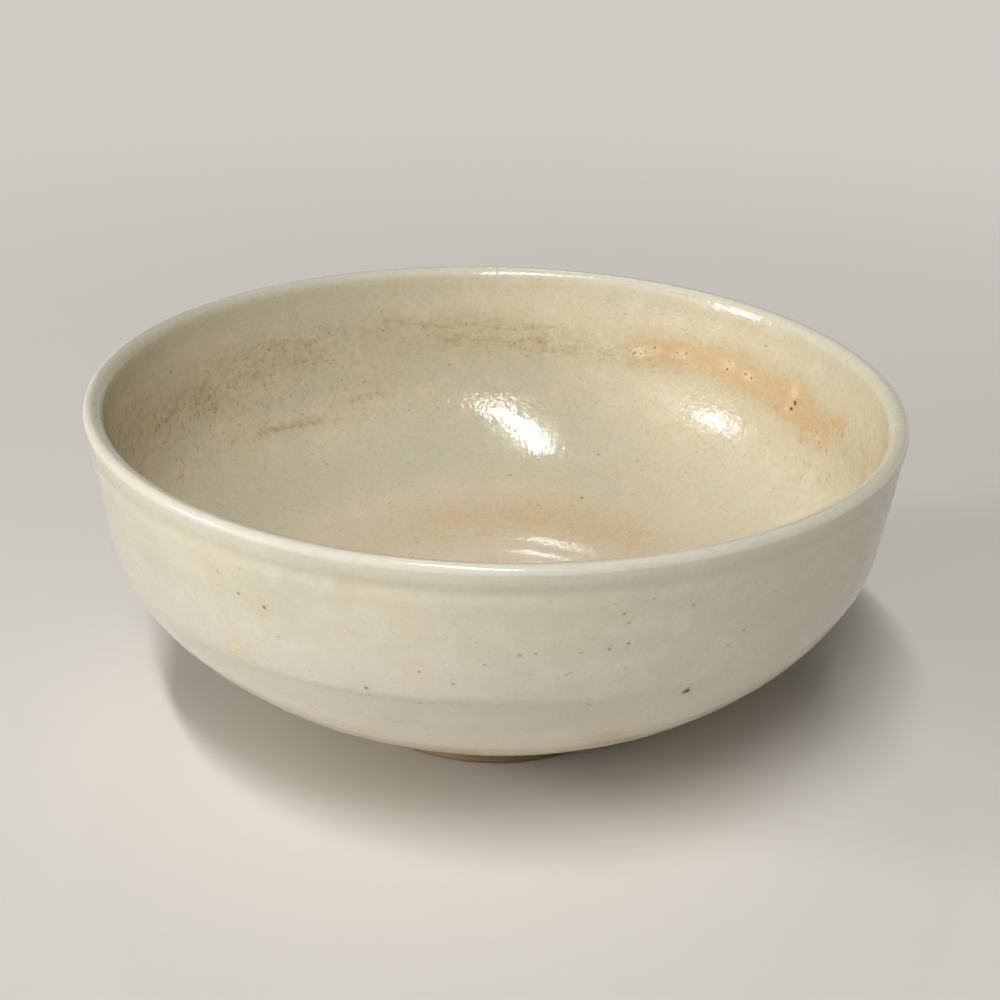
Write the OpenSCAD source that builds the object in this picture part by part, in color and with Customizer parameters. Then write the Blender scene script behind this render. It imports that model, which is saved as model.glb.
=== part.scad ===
// Matcha bowl: a wide, low tea bowl of thrown stoneware on a turned foot ring, with a thin
// coat of glaze inside and another outside that meet on the lip and leave the foot bare.
// +Z is up, and the origin is on the bowl's axis in the plane that the foot stands on.

/* [Bowl] */
// Outside diameter of the lip, over the glaze
rim_d = 150; // [135:0.5:170]
// Height from the foot to the top of the lip, over the glaze
bowl_h = 65; // [58:0.2:74]
// Thickness of each coat of glaze
glaze_t = 0.4; // [0.2:0.05:0.8]
// Width of the band of clay that the outer glaze leaves bare above the foot
bare_w = 2.5; // [1:0.1:6]

/* [Lip] */
// Thickness of the rounded lip, over the glaze
lip_t = 3.6; // [2.8:0.1:5]
// Radius of the lip's outer edge, over the glaze, with the rest of its thickness rounded inwards
lip_edge = 1.3; // [1:0.1:1.8]
// Depth of the groove pressed in under the lip
groove_depth = 0.15; // [0:0.05:0.6]
// Distance along the wall from the lip to the middle of the groove
groove_drop = 3.8; // [3:0.1:7]
// Half width of the groove
groove_w = 1.6; // [1:0.1:3]

/* [Wall] */
// Lean of the upper wall, in degrees from upright
wall_lean = 8.8; // [5:0.1:12]
// Length of the straight upper wall
wall_len = 22.5; // [14:0.5:26]
// Thickness of the clay where the straight wall ends
wall_t = 3.8; // [3.2:0.1:5.5]
// Radius of the hip, the quick turn under the upper wall
hip_r = 20; // [14:0.5:28]
// Radius of the belly, the slow curve from the hip to the foot
belly_r = 66; // [58:1:90]

/* [Inside] */
// Length of the straight upper wall on the inside
inner_wall_len = 18.5; // [12:0.5:22]
// Radius of the hip on the inside
inner_hip_r = 26; // [18:0.5:30]
// Radius of the slow curve from the inner hip to the flat of the floor
inner_belly_r = 60; // [54:1:75]
// Thickness of the clay floor at its middle
floor_t = 4.6; // [3.6:0.1:8]

/* [Throwing marks] */
// Height of the rings that the fingers leave, from mean to crest
ring_depth = 0.05; // [0:0.01:0.2]
// Distance between the rings
ring_pitch = 6.2; // [5:0.1:9]
// Depth of the ledge where the turned lower belly begins
ledge_depth = 0.4; // [0:0.05:0.6]
// Distance along the belly from the foot up to the ledge
ledge_up = 54.6; // [44:0.2:60]
// Width of the ledge
ledge_w = 2.2; // [1.4:0.1:6]
// Distance over which the belly comes out again below the ledge
ledge_run = 13; // [8:0.5:24]

/* [Foot] */
// Outside diameter of the foot ring where it stands
foot_d = 56.8; // [50:0.2:66]
// Height of the foot ring
foot_h = 7.5; // [6:0.1:10]
// Width of the foot ring where it stands
foot_w = 5.2; // [4:0.1:8]
// Lean of the foot's two walls, in degrees from upright
foot_lean = 4; // [0:0.5:8]
// Radius of the foot's two lower edges
foot_edge = 0.9; // [0.3:0.1:1.5]
// Radius of the small rise in the middle of the foot's recess
nipple_r = 7.5; // [5:0.5:10]
// Height of that rise
nipple_h = 1.1; // [0:0.1:2]

/* [Hidden] */
$fn = 180;
// Longest step between two points of a section
step = 1.25;
// Steps round the crest of the lip on each side
lip_steps = 8;
// Steps round each edge of the foot
edge_steps = 5;
// Steps across the rise in the recess
nipple_steps = 6;
// Pitch of the second wave of throwing rings, as a multiple of the first
wave_ratio = 1.62;

// The lip's crest is where its outer and inner rounds meet. Their middles and their radii in clay
crest_r = rim_d / 2 - lip_edge;
lip_out = [crest_r, bowl_h - lip_edge];
lip_in = [crest_r, bowl_h - (lip_t - lip_edge)];
lip_out_r = lip_edge - glaze_t;
lip_in_r = lip_t - lip_edge - glaze_t;

// Leans run from 0, straight down, to 90, level towards the axis. A surface that leans by a
// faces away from the bowl's axis along facing(a), and the inside faces the opposite way.
function facing(a) = [cos(a), -sin(a)];
function heading(a) = [-sin(a), -cos(a)];
function length_of(r, a0, a1) = r * (a1 - a0) * PI / 180;
function ramp(x) = x <= 0 ? 0 : x >= 1 ? 1 : x * x * (3 - 2 * x);

// The foot's outer corner, where its leaning wall meets the belly
edge_c = [foot_d / 2 - foot_edge, foot_edge];
foot_out = edge_c + foot_edge * facing(foot_lean);
foot_rise = foot_h - foot_out.y;
foot_corner = foot_out + [foot_rise * tan(foot_lean), foot_rise];
// The same corner on the recess side, mirrored about the middle of the ring
foot_mid = foot_d / 2 - foot_w / 2;
recess_r = 2 * foot_mid - foot_corner.x;

// Outside: the hip's arc is tangent to the wall, and the belly's arc is tangent to the hip's
// and runs through the foot's corner, so its middle lies where two circles cross.
out_start = lip_out + lip_out_r * facing(wall_lean);
hip_c = out_start + wall_len * heading(wall_lean) - hip_r * facing(wall_lean);
to_foot = foot_corner - hip_c;
toward = to_foot / norm(to_foot);
gap_r = belly_r - hip_r;
forward = (norm(to_foot)^2 + gap_r^2 - belly_r^2) / (2 * norm(to_foot));
belly_c = hip_c + forward * toward + sqrt(gap_r^2 - forward^2) * [toward.y, -toward.x];
hip_end = atan2(belly_c.y - hip_c.y, hip_c.x - belly_c.x);
belly_end = atan2(belly_c.y - foot_corner.y, foot_corner.x - belly_c.x);

// Inside: the wall leans in a little more, so that the clay would grow from the lip's thickness
// to wall_t at the end of the outer wall, but the inner hip starts sooner and turns more slowly.
// The inner belly's arc is tangent to the inner hip and to the flat floor.
inner_lean = wall_lean + asin((wall_t - lip_out_r - lip_in_r) / wall_len);
in_start = lip_in - lip_in_r * facing(inner_lean);
inner_hip_c = in_start + inner_wall_len * heading(inner_lean) - inner_hip_r * facing(inner_lean);
inner_belly_z = foot_h + floor_t + inner_belly_r;
inner_gap_r = inner_belly_r - inner_hip_r;
drop = inner_belly_z - inner_hip_c.y;
flat_r = inner_hip_c.x - sqrt(inner_gap_r^2 - drop^2);
inner_hip_end = asin(drop / inner_gap_r);

// One side of a section: [start, lean, wall length, hip radius, lean where the hip ends,
// belly radius, lean where the belly ends, length of the flat run after it]
outside = [out_start, wall_lean, wall_len, hip_r, hip_end, belly_r, belly_end, 0];
inside = [in_start, inner_lean, inner_wall_len, inner_hip_r, inner_hip_end, inner_belly_r, 90, flat_r];

// Distances along a side to the end of its wall, its hip, its belly and its flat run
function ends(side) = let (
    hip = side[2] + length_of(side[3], side[1], side[4]),
    belly = hip + length_of(side[5], side[4], side[6])
) [side[2], hip, belly, belly + side[7]];
// Lean at the distance s along a side
function lean_at(side, s) = let (e = ends(side))
    s < e[0] ? side[1] :
    s < e[1] ? side[1] + (s - e[0]) / side[3] * 180 / PI :
    s < e[2] ? side[4] + (s - e[1]) / side[5] * 180 / PI :
    side[6];
// Shift along an arc of radius r from lean a0 to lean a
function arc_shift(r, a0, a) = r * (facing(a) - facing(a0));
// Point at the distance s along a side
function point_at(side, s) = let (e = ends(side), a = lean_at(side, s))
    side[0] + min(s, e[0]) * heading(side[1])
    + (s <= e[0] ? [0, 0] : arc_shift(side[3], side[1], min(a, side[4])))
    + (s <= e[1] ? [0, 0] : arc_shift(side[5], side[4], a))
    + (s <= e[2] ? [0, 0] : (s - e[2]) * heading(side[6]));

// Relief of the throwing rings: two waves that drift in and out of step, as a hand leaves them,
// and fade out at both ends of a side
function rings(s, length) =
    ring_depth * (0.6 * sin(360 * s / ring_pitch) + 0.4 * sin(360 * s / (wave_ratio * ring_pitch)))
    * ramp(s / (2 * ring_pitch)) * ramp((length - s) / (2 * ring_pitch));
// Relief of the groove under the lip, and of the ledge, which cuts in and comes out again slowly
function groove(s) = -groove_depth * exp(-((s - groove_drop) / groove_w)^2) * ramp(s / groove_w);
function turned(s, length) = let (d = s - length + ledge_up)
    -ledge_depth * (ramp(d / ledge_w) - ramp((d - ledge_w) / ledge_run));

out_length = ends(outside)[3];
in_length = ends(inside)[3];
glazed_length = out_length - bare_w;

// Evenly spaced distances from a to b, no further apart than one step
function spaced(a, b) = let (n = ceil((b - a) / step)) [for (i = [0:n]) a + (b - a) * i / n];
glazed_s = spaced(0, glazed_length);
bare_s = [for (s = spaced(glazed_length, out_length)) if (s > glazed_length) s];
inside_s = spaced(0, in_length);

// The outer surface at the distances in list, raised by t, and the inner surface likewise
function outer_line(list, t) = [
    for (s = list) point_at(outside, s)
        + (t + rings(s, out_length) + groove(s) + turned(s, out_length)) * facing(lean_at(outside, s))
];
function inner_line(list, t) = [
    for (s = list) let (p = point_at(inside, s) - (t + rings(s, in_length)) * facing(lean_at(inside, s)))
        [s == in_length ? 0 : p.x, p.y]
];
// Half of the lip's crest, from its top to the point where a side starts
function lip_line(c, r, end) = [
    for (i = [0:lip_steps - 1]) let (a = 90 + (end - 90) * i / lip_steps) c + r * [cos(a), sin(a)]
];
function outer_lip(t) = lip_line(lip_out, lip_out_r + t, -wall_lean);
function inner_lip(t) = lip_line(lip_in, lip_in_r + t, 180 - inner_lean);
function reversed(list) = [for (i = [len(list) - 1:-1:0]) list[i]];

// Underside of the body within the foot: flat, with a low rounded rise in the middle
recess_line = [
    for (i = [nipple_steps:-1:0]) let (r = nipple_r * i / nipple_steps)
        [r, foot_h - nipple_h * (1 + cos(180 * r / nipple_r)) / 2]
];
// A lower edge of the foot, from its standing face round to the wall
foot_round = [
    for (i = [0:edge_steps]) edge_c + foot_edge * facing(90 + (foot_lean - 90) * i / edge_steps)
];

module turn(section) {
    rotate_extrude() polygon(section);
}

// Thrown wall and floor in one piece
module clay_body() {
    color("#b79c79") turn(concat(
        reversed(inner_line(inside_s, 0)),
        reversed(inner_lip(0)),
        [for (i = [1:lip_steps - 1]) outer_lip(0)[i]],
        outer_line(glazed_s, 0),
        outer_line(bare_s, 0),
        recess_line
    ));
}

// Turned ring that the bowl stands on, seated flat against the body
module foot_ring() {
    color("#a58a68") turn(concat(
        foot_round,
        [foot_corner, [recess_r, foot_h]],
        reversed([for (p = foot_round) [2 * foot_mid - p.x, p.y]])
    ));
}

// Coat of glaze from the crest of the lip to the middle of the floor
module inner_glaze() {
    color("#cdbf9e") turn(concat(
        inner_lip(glaze_t),
        inner_line(inside_s, glaze_t),
        reversed(inner_line(inside_s, 0)),
        reversed(inner_lip(0))
    ));
}

// Coat of glaze from the crest of the lip to the bare clay above the foot
module outer_glaze() {
    color("#dcd3bb") turn(concat(
        outer_lip(glaze_t),
        outer_line(glazed_s, glaze_t),
        reversed(outer_line(glazed_s, 0)),
        reversed(outer_lip(0))
    ));
}

clay_body();
foot_ring();
inner_glaze();
outer_glaze();
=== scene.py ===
from math import cos, pi, radians, sin

import bpy
import numpy as np
from mathutils import Matrix, Vector


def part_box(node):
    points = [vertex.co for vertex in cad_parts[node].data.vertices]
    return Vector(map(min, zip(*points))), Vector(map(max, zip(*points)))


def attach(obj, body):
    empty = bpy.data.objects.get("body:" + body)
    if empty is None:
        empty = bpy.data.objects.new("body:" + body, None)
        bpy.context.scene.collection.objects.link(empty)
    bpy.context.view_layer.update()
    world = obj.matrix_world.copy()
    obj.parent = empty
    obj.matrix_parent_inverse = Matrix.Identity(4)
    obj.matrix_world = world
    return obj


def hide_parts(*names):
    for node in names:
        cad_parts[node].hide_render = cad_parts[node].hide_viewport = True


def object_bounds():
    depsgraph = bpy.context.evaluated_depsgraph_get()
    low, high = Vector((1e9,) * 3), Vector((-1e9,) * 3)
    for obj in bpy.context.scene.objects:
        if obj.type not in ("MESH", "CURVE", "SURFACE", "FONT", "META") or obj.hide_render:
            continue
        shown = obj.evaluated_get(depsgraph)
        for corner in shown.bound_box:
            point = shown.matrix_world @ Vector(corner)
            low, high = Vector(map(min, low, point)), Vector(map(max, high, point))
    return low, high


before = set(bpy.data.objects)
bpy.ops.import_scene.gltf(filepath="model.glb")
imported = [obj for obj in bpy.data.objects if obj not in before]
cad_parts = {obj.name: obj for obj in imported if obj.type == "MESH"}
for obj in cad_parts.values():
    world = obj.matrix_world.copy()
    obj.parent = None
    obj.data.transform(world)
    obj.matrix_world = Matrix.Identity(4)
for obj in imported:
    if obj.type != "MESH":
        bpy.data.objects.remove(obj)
cadLow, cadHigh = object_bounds()
mm = 0.001

# The bowl's overall sizes come from the frame, and the rest are the potter's
lipRadius = cadHigh[0] / mm
bowlHeight = cadHigh[2] / mm
footCorner, _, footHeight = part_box("foot_ring")[1] / mm

bowl = dict(
    lipThickness=3.6,
    lipOutside=1.3,  # radius of the lip's outer half, the sharper one
    glaze=0.4,  # thickness of each coat
    wallLean=8.8,  # degrees from upright
    wallLength=22.5,
    wallThickness=3.8,
    hipRadius=20.0,
    bellyRadius=66.0,
    innerWallLength=18.5,  # the hip starts sooner inside, and turns more slowly
    innerHipRadius=26.0,
    innerBellyRadius=60.0,
    floorThickness=4.6,
    bareBand=2.5,  # clay left bare above the foot
    blend=7.0,
    around=520,  # faces round the bowl
)


# A number that eases from 0 to 1 as x goes from 0 to 1: 3x^2 - 2x^3
def ease(x):
    x = np.clip(x, 0, 1)
    return x * x * (3 - 2 * x)


# The way out of a surface that leans by a: (cos a, -sin a)
def facing(lean):
    a = np.radians(lean)
    return np.stack([np.cos(a), -np.sin(a)], -1)


# The way down a surface that leans by a: (-sin a, -cos a)
def heading(lean):
    a = np.radians(lean)
    return np.stack([-np.sin(a), -np.cos(a)], -1)


# The two sides of the bowl's section: half the lip's round, a straight wall, a hip arc, a belly arc and a
# flat run. Each arc's centre lies its radius away from the end of the stretch before it, so that they run
# on smoothly.
def makeSides():
    rounds = [bowl["lipOutside"], bowl["lipThickness"] - bowl["lipOutside"]]
    lipCentres = [np.array([lipRadius - rounds[0], bowlHeight - r]) for r in rounds]
    clayLips = [r - bowl["glaze"] for r in rounds]
    lean, length = bowl["wallLean"], bowl["wallLength"]
    hip, belly = bowl["hipRadius"], bowl["bellyRadius"]
    hipCentre = lipCentres[0] + clayLips[0] * facing(lean) + length * heading(lean) - hip * facing(lean)
    # The belly's arc touches the hip's from inside and ends on the foot's corner
    toFoot = np.array([footCorner, footHeight]) - hipCentre
    reach = np.hypot(*toFoot)
    along = (reach**2 + (belly - hip) ** 2 - belly**2) / (2 * reach)
    across = np.sqrt((belly - hip) ** 2 - along**2)
    bellyCentre = hipCentre + (toFoot * along + np.array([toFoot[1], -toFoot[0]]) * across) / reach
    hipEnd = np.degrees(np.arctan2(bellyCentre[1] - hipCentre[1], hipCentre[0] - bellyCentre[0]))
    bellyEnd = np.degrees(np.arctan2(bellyCentre[1] - footHeight, footCorner - bellyCentre[0]))
    outer = dict(way=1, lip=-90, lean=lean, wall=length, hip=hip, belly=belly)
    outer.update(hipEnd=hipEnd, end=bellyEnd, flat=0)

    innerLean = lean + np.degrees(np.arcsin((bowl["wallThickness"] - sum(clayLips)) / length))
    length = bowl["innerWallLength"]
    hip, belly = bowl["innerHipRadius"], bowl["innerBellyRadius"]
    out = facing(innerLean)
    hipCentre = lipCentres[1] - clayLips[1] * out + length * heading(innerLean) - hip * out
    # The belly's lowest point lies on the floor
    drop = footHeight + bowl["floorThickness"] + belly - hipCentre[1]
    hipEnd = np.degrees(np.arcsin(drop / (belly - hip)))
    flat = hipCentre[0] - np.sqrt((belly - hip) ** 2 - drop**2)
    inner = dict(way=-1, lip=90, lean=innerLean, wall=length, hip=hip, belly=belly)
    inner.update(hipEnd=hipEnd, end=90, flat=flat)
    for side, centre, clayLip, lipRound in zip((outer, inner), lipCentres, clayLips, rounds):
        side["centre"], side["clayLip"] = centre, clayLip
        hipLength = side["hip"] * np.radians(side["hipEnd"] - side["lean"])
        bellyLength = side["belly"] * np.radians(side["end"] - side["hipEnd"])
        side["stops"] = np.cumsum([side["wall"], hipLength, bellyLength, side["flat"]])
        side["crest"] = -lipRound * np.radians(abs(side["lip"] - side["lean"]))
        side["length"] = side["stops"][3]
    return outer, inner


# Lean of a side at the distance s below its lip's round, which runs back to the crest at s = crest. It
# grows evenly along each arc and stays the same along the wall and the flat.
def exactLean(side, s):
    wall, hip, belly, _ = side["stops"]
    return np.interp(
        s,
        [side["crest"], 0, wall, hip, belly, belly + 1],
        [side["lip"], side["lean"], side["lean"], side["hipEnd"], side["end"], side["end"]],
    )


# The clay's section at s: the lip's centre and r facing(a) on its round, then the wall's run, then
# R (facing(a) - facing(a0)) on each arc that starts at the lean a0, then the flat
def exactSection(side, s):
    lean = exactLean(side, s)
    wall, _, belly, _ = side["stops"]
    onLip = np.interp(s, [side["crest"], 0], [side["lip"], side["lean"]])
    onHip = np.where(s < 0, side["lean"], np.clip(lean, side["lean"], side["hipEnd"]))
    onBelly = np.where(s < 0, side["hipEnd"], np.clip(lean, side["hipEnd"], side["end"]))
    return (
        side["centre"]
        + side["way"] * side["clayLip"] * facing(onLip)
        + np.clip(s, 0, wall)[..., None] * heading(side["lean"])
        + side["hip"] * (facing(onHip) - facing(side["lean"]))
        + side["belly"] * (facing(onBelly) - facing(side["hipEnd"]))
        + np.maximum(s - belly, 0)[..., None] * heading(side["end"])
    )


# The hand blends one arc into the next: the mean of nine values spread evenly over blend mm, or over less
# at the ends
def blended(exact, side, s):
    blend = bowl["blend"]
    reach = blend / 2 * ease((s - 1) / blend) * ease((side["length"] - s) / blend)
    return sum(exact(side, s + reach * k) for k in np.linspace(-1, 1, 9)) / 9


# The blended lean at s
def leanAt(side, s):
    return blended(exactLean, side, s)


# The blended point (r, z) at s
def sectionAt(side, s):
    return blended(exactSection, side, s)


outer, inner = makeSides()
print("outer side", round(outer["length"], 1), "mm, inner side", round(inner["length"], 1), "mm")

hand = dict(
    outerRings=0.022,
    innerRings=0.02,
    ringPitch=6.2,
    ringRatio=1.62,  # pitch of the second wave of rings over the first
    fineRings=0.008,
    finePitch=1.7,
    innerRingsEnd=27,  # the rings inside fade out down to here
    innerRingsFade=12,
    floorRings=0.055,  # spiral that the finger leaves on the floor
    floorPitch=6.5,
    floorFrom=58,
    grooveDepth=0.13,
    grooveDrop=3.6,
    grooveWidth=1.3,
    grooveWaver=0.3,
    innerGroove=0.1,
    innerGrooveDrop=3.6,
    innerGrooveWidth=2.0,
    wipeDepth=0.15,  # the lip's inner shoulder is wiped flat for a stretch
    wipeAzimuth=44,
    wipeReach=11,  # degrees to each side
    wipeFade=5,
    wipeAt=-0.5,
    wipeHalf=1.0,
    ledgeDepth=0.42,
    ledgeUp=54.6,  # from the foot to the ledge at the hip
    ledgeWidth=2.2,
    ledgeRun=13.0,  # over which the belly comes out again
    ledgeSharp=-122,  # azimuth at which the ledge is cut sharpest
    ledgeBlunt=2.2,  # times its width more where it is cut bluntest
    ledgeLost=0.7,  # share of its depth that is lost on the left
    climb=0.07,  # ridge that climbs away from the ledge
    climbAzimuth=-78,
    climbAt=20,
    climbSlope=14,  # mm for each radian
    climbWidth=1.6,
    climbReach=0.35,  # radians
    lump=0.08,
    rimTilt=0.7,  # the lip is this much lower than its mean on the right, and higher on the left
    rimBack=0.2,  # and this much lower at the back
    rimWave=0.12,
    sagFrom=20,  # height at which the lip's dip and the oval start
    outOfRound=0.0025,
    fuller=0.3,  # the belly is this much fuller on the right
    fullerAt=24,  # height of the fullest part
    fullerHalf=12,
    leftFuller=0.25,  # and this much on the left, where the ledge is shallower too
    leftSide=-158,
    leftReach=26,
)


# Throwing rings: depth (0.6 sin + 0.4 sin) of two waves that climb one pitch for each turn of the wheel, so
# that they spiral, and a finer third that swells and fades
def rings(theta, s, length, depth):
    pitch, turn = hand["ringPitch"], theta / (2 * pi)
    wave = 0.6 * np.sin(2 * pi * (s / pitch - turn))
    wave += 0.4 * np.sin(2 * pi * (s / (pitch * hand["ringRatio"]) - turn))
    fine = np.sin(2 * pi * (s / hand["finePitch"] - turn)) * (0.6 + 0.4 * np.sin(s / 3.1 + 2 * theta))
    fade = ease(s / (2 * pitch)) * ease((length - s) / (2 * pitch))
    return (depth * wave + hand["fineRings"] * fine) * fade


# Lumps that the hands leave: slow waves sin(times theta + s / drift) round the bowl, each weaker than the
# last
def lumps(theta, s, seed):
    waves = [(2, 31), (3, 23), (5, 17), (7, 13), (11, 11)]
    total = 0
    for k, (times, drift) in enumerate(waves):
        total = total + np.sin(times * theta + s / drift + 1.7 * k + seed) / (k + 1)
    return hand["lump"] * total * ease((s + 3) / 12)


# 1 on the left side and near 0 beyond 50 degrees from it: a bell exp(-x^2), with x in steps of leftReach
def bulge(theta):
    away = np.abs(np.mod(np.degrees(theta) - hand["leftSide"] + 180, 360) - 180)
    return np.exp(-((away / hand["leftReach"]) ** 2))


# Outside: rings, a groove -depth exp(-((s - drop) / width)^2), a quick ease in at the ledge with a slow one
# out, a ridge of the same bell form along a climbing line, and lumps
def outerRelief(theta, s):
    length = outer["length"]
    groove = -hand["grooveDepth"] * np.exp(-(((s - hand["grooveDrop"]) / hand["grooveWidth"]) ** 2))
    groove = groove * ease(s / hand["grooveWidth"]) * (1 + hand["grooveWaver"] * np.sin(3 * theta + 1))
    ledgeAt = length - hand["ledgeUp"] + 0.4 * np.sin(2 * theta + 0.6) + 0.2 * np.sin(5 * theta)
    blunt = 1 + hand["ledgeBlunt"] * ease((1 - np.cos(theta - radians(hand["ledgeSharp"]))) / 0.7)
    cut = ease((s - ledgeAt) / (hand["ledgeWidth"] * blunt))
    cut = cut - ease((s - ledgeAt - hand["ledgeWidth"]) / hand["ledgeRun"])
    across = np.mod(theta - radians(hand["climbAzimuth"]) + pi, 2 * pi) - pi
    along = (s - hand["climbAt"] + hand["climbSlope"] * across) / hand["climbWidth"]
    ridge = hand["climb"] * np.exp(-(along**2) - (across / hand["climbReach"]) ** 2)
    depth = hand["ledgeDepth"] * (1 - hand["ledgeLost"] * bulge(theta))
    slow = lumps(theta, s, 0.4) * ease((length - s) / 12)
    return rings(theta, s, length, hand["outerRings"]) + groove - depth * cut + ridge + slow


# Inside: rings that fade below the wall, a shallow groove under the lip, lumps, and the finger's spiral on
# the floor, depth sin(2 pi (s / pitch + turn)), less the flat that is wiped on the lip's round
def innerRelief(theta, s):
    length = inner["length"]
    drop, width = hand["innerGrooveDrop"], hand["innerGrooveWidth"]
    groove = -hand["innerGroove"] * np.exp(-(((s - drop) / width) ** 2)) * ease(s / width)
    onFloor = ease((s - hand["floorFrom"]) / 6) * ease((length - s) / 4)
    swirl = hand["floorRings"] * np.sin(2 * pi * (s / hand["floorPitch"] + theta / (2 * pi))) * onFloor
    thrown = rings(theta, s, length, hand["innerRings"])
    thrown = thrown * ease((hand["innerRingsEnd"] - s) / hand["innerRingsFade"])
    slow = lumps(theta, s, 2.3) * ease((length - s) / 20) * (1 - 0.5 * ease((s - 18) / 10))
    # A flat on the lip's round: depth (1 - x^2), x the share of its half width
    across = np.abs(np.mod(np.degrees(theta) - hand["wipeAzimuth"] + 180, 360) - 180)
    wiped = np.maximum(1 - ((s - hand["wipeAt"]) / hand["wipeHalf"]) ** 2, 0)
    wiped = wiped * ease((hand["wipeReach"] - across) / hand["wipeFade"])
    return thrown + groove + swirl + slow - hand["wipeDepth"] * wiped


# Points of a side, raised by lift off the clay: section + (lift + relief) outwards, turned round by theta
def sidePoints(side, theta, s, lift):
    relief = outerRelief if side is outer else innerRelief
    section = sectionAt(side, s)
    out = side["way"] * facing(leanAt(side, s))
    raised = section + (lift + relief(theta, s))[..., None] * out
    return turned(theta, raised[..., 0], raised[..., 1])


# (r, z) turned to (r cos theta, r sin theta, z), once the lip has dipped to one side by tilt (1 + cos
# theta) and two smaller waves, the wall has gone a little oval by sin(2 theta), and the belly has filled
# out on two sides
def turned(theta, r, z):
    upper = ease((z - hand["sagFrom"]) / (bowlHeight - hand["sagFrom"] - 2))
    r = r * (1 - hand["outOfRound"] * upper * (1 + np.sin(2 * theta + 0.8)))
    fuller = hand["fuller"] * (1 + np.cos(theta + 0.3)) / 2 + hand["leftFuller"] * bulge(theta)
    r = r + fuller * np.exp(-(((z - hand["fullerAt"]) / hand["fullerHalf"]) ** 2)) * ease(z / 12)
    dip = hand["rimTilt"] * (1 + np.cos(theta)) + hand["rimBack"] * (1 + np.sin(theta))
    dip = dip + hand["rimWave"] * (1 + np.sin(3 * theta + 2))
    return np.stack([r * np.cos(theta), r * np.sin(theta), z - upper * dip], -1)


# Rows of points become a skin of quads, point (i, j) joined to (i, j + 1), (i + 1, j + 1) and (i + 1, j).
# The rows close into a loop, or end in a point on the axis at each end. Fields are kept at the vertices.
def skin(name, points, sharpRows=(), poles=False, fields=None):
    rows, columns = points.shape[:2]
    index = np.arange(rows * columns).reshape(rows, columns)
    after = np.roll(index, -1, 1)
    if poles:
        quads = np.stack([index[:-1], after[:-1], after[1:], index[1:]], -1).reshape(-1, 4)
    else:
        below = np.roll(index, -1, 0)
        quads = np.stack([index, after, np.roll(below, -1, 1), below], -1).reshape(-1, 4)
    vertices = points.reshape(-1, 3)
    triangles = np.zeros((0, 3), int)
    if poles:
        tips = np.stack([points[0].mean(0), points[-1].mean(0)])
        tips[:, :2] = 0
        first, last = rows * columns, rows * columns + 1
        top = np.stack([np.full(columns, first), after[0], index[0]], -1)
        bottom = np.stack([np.full(columns, last), index[-1], after[-1]], -1)
        triangles = np.concatenate([top, bottom])
        vertices = np.concatenate([vertices, tips])
    # Signed volume of the skin: sum of a . (b x c) / 6 over its triangles. A negative one is inside out.
    corners = np.concatenate([quads[:, [0, 1, 2]], quads[:, [0, 2, 3]], triangles])
    a, b, c = (vertices[corners[:, k]] for k in range(3))
    if np.einsum("ij,ij->i", a, np.cross(b, c)).sum() < 0:
        quads, triangles = quads[:, ::-1], triangles[:, ::-1]

    mesh = bpy.data.meshes.new(name)
    loops = np.concatenate([quads.ravel(), triangles.ravel()])
    sizes = np.concatenate([np.full(len(quads), 4), np.full(len(triangles), 3)])
    mesh.vertices.add(len(vertices))
    mesh.loops.add(len(loops))
    mesh.polygons.add(len(sizes))
    mesh.vertices.foreach_set("co", (vertices * mm).astype(np.float32).ravel())
    mesh.loops.foreach_set("vertex_index", loops.astype(np.int32))
    mesh.polygons.foreach_set("loop_start", (np.cumsum(sizes) - sizes).astype(np.int32))
    mesh.update(calc_edges=True)
    mesh.validate()
    mesh.polygons.foreach_set("use_smooth", np.ones(len(sizes), bool))
    if len(sharpRows):
        ends = np.empty(len(mesh.edges) * 2, np.int32)
        mesh.edges.foreach_get("vertices", ends)
        rowOf = ends.reshape(-1, 2) // columns
        sharp = (rowOf[:, 0] == rowOf[:, 1]) & np.isin(rowOf[:, 0], sharpRows)
        mesh.attributes.new("sharp_edge", "BOOLEAN", "EDGE").data.foreach_set("value", sharp)
    for key, values in (fields or {}).items():
        flat = values.reshape(rows * columns, -1)
        if poles:
            flat = np.concatenate([flat, values[0].reshape(columns, -1).mean(0, keepdims=True)])
            flat = np.concatenate([flat, values[-1].reshape(columns, -1).mean(0, keepdims=True)])
        kind, slotName = ("FLOAT_VECTOR", "vector") if flat.shape[1] == 3 else ("FLOAT", "value")
        made = mesh.attributes.new(key, kind, "POINT")
        made.data.foreach_set(slotName, flat.astype(np.float32).ravel())
    piece = bpy.data.objects.new(name, mesh)
    bpy.context.scene.collection.objects.link(piece)
    return piece


# Every pair of an angle, spread evenly round the bowl, and a value of s
def gridOf(columns, s):
    theta = np.arange(columns) * 2 * pi / columns
    return np.meshgrid(theta, s)


# Distances down a side: crest (1 - ease(x) / 2 - x / 2) on the lip's round, close together at both its
# ends, then evenly spaced ones
def rowsDown(side, end, lipRows, sideRows):
    x = np.linspace(0, 1, lipRows, endpoint=False)
    onLip = side["crest"] * (1 - ease(x) * 0.5 - x * 0.5)
    return np.concatenate([onLip, np.linspace(0, end, sideRows)])


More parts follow.
